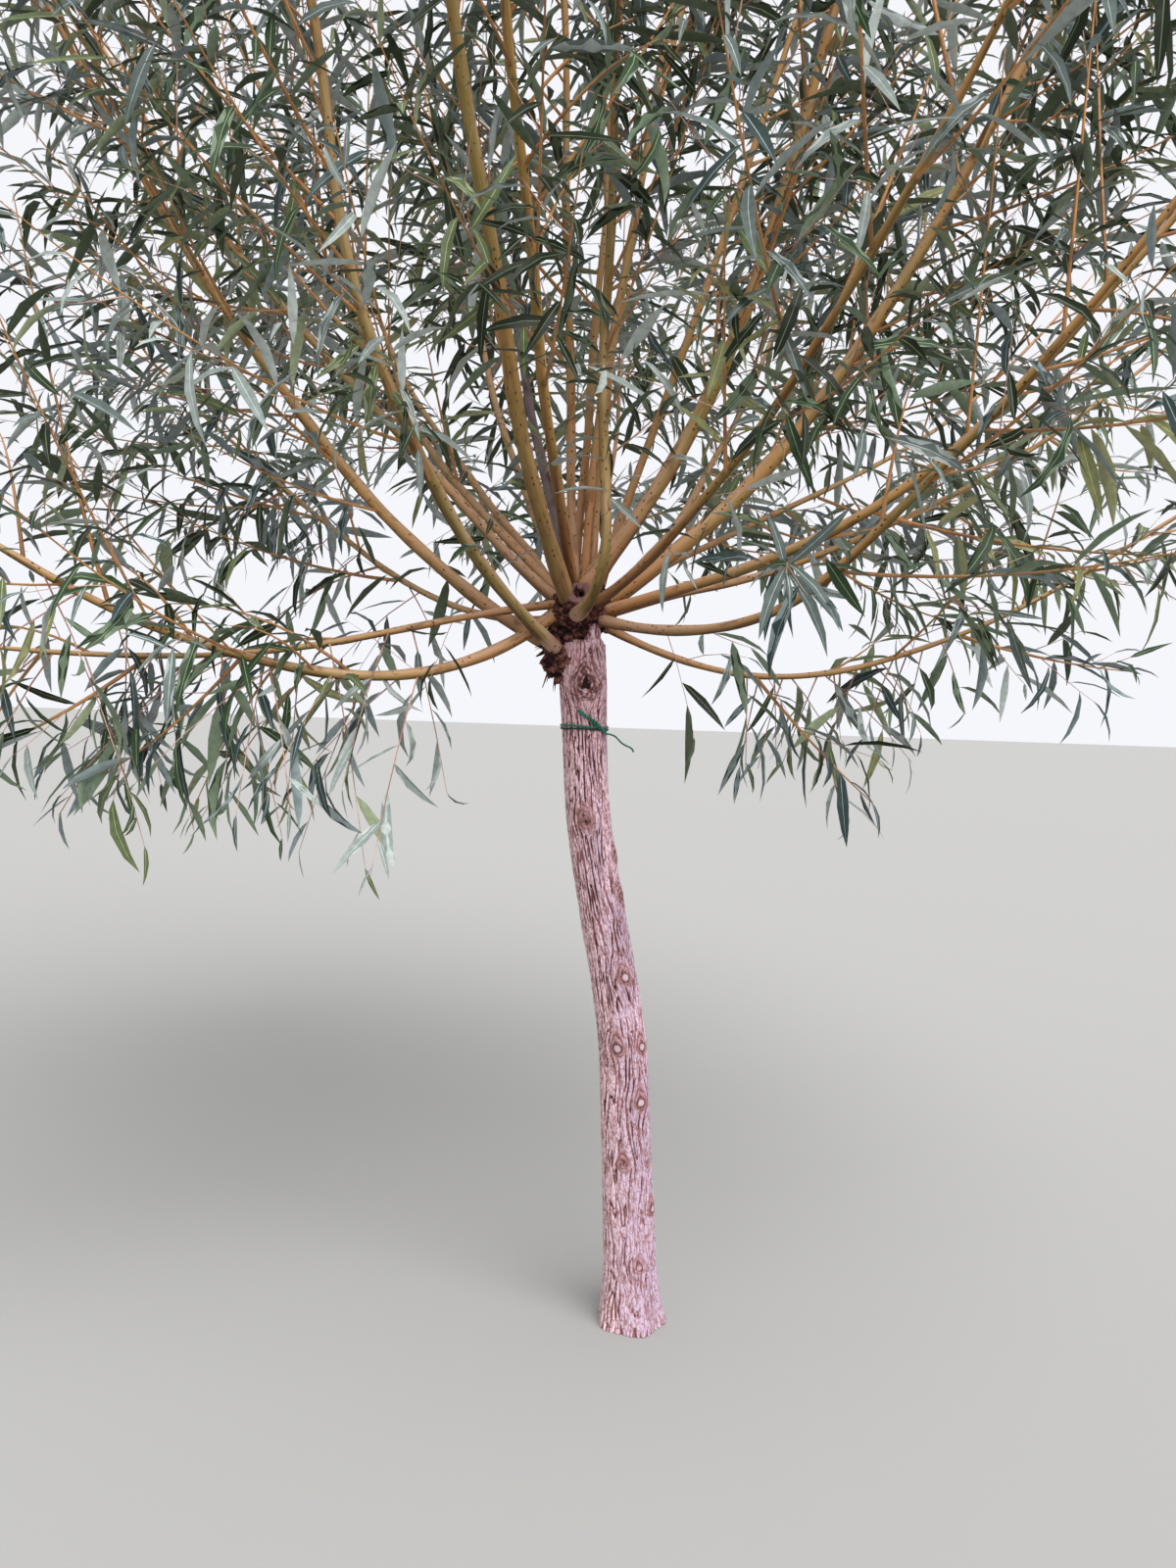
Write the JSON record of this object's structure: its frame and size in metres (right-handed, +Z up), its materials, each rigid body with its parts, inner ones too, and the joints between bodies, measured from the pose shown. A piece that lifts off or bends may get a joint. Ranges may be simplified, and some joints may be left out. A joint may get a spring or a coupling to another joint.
{
  "type": "pollard willow tree",
  "caption": "Young pollard willow: a leaning bare trunk with a knobbed head, from which long boughs fan out into a round, open crown of narrow leaves.",
  "frame": {"origin": "middle of the flat cut under the trunk, at ground level", "axes": "+Z up, +X to the right and +Y away from the side that the picture was taken from"},
  "size_m": [4.1125, 3.7129, 4.8807],
  "materials": {
    "bark": "rough, furrowed pinkish-grey bark with red-brown cracks",
    "young_bark": "smooth ochre to olive young bark with small dark pores",
    "dead_bark": "dull grey bark of a dead limb",
    "leaves": "narrow leaves, dark green above and grey-green below, half matt",
    "wire": "green plastic-coated garden wire"
  },
  "bodies": {
    "root": {"trunk": "bark", "trunk_tie": "wire", "bough_01": "young_bark", "foliage_01": "leaves", "bough_02": "young_bark", "foliage_02": "leaves", "bough_03": "young_bark", "foliage_03": "leaves", "bough_04": "young_bark", "foliage_04": "leaves", "bough_05": "young_bark", "foliage_05": "leaves", "bough_06": "young_bark", "foliage_06": "leaves", "bough_07": "young_bark", "foliage_07": "leaves", "bough_08": "young_bark", "foliage_08": "leaves", "bough_09": "young_bark", "foliage_09": "leaves", "bough_10": "young_bark", "foliage_10": "leaves", "bough_11": "dead_bark", "bough_12": "young_bark", "foliage_12": "leaves", "bough_13": "young_bark", "foliage_13": "leaves", "bough_14": "young_bark", "foliage_14": "leaves", "bough_15": "young_bark", "foliage_15": "leaves", "bough_16": "young_bark", "foliage_16": "leaves", "bough_17": "young_bark", "foliage_17": "leaves", "bough_18": "young_bark", "foliage_18": "leaves", "bough_19": "young_bark", "foliage_19": "leaves", "bough_20": "young_bark", "foliage_20": "leaves", "bough_21": "young_bark", "foliage_21": "leaves", "bough_22": "young_bark", "foliage_22": "leaves", "bough_23": "young_bark", "foliage_23": "leaves", "bough_24": "young_bark", "foliage_24": "leaves", "bough_25": "young_bark", "foliage_25": "leaves", "bough_26": "young_bark", "foliage_26": "leaves", "bough_27": "young_bark", "foliage_27": "leaves", "bough_28": "young_bark", "foliage_28": "leaves", "bough_29": "young_bark", "foliage_29": "leaves"}
  },
  "joints": []
}
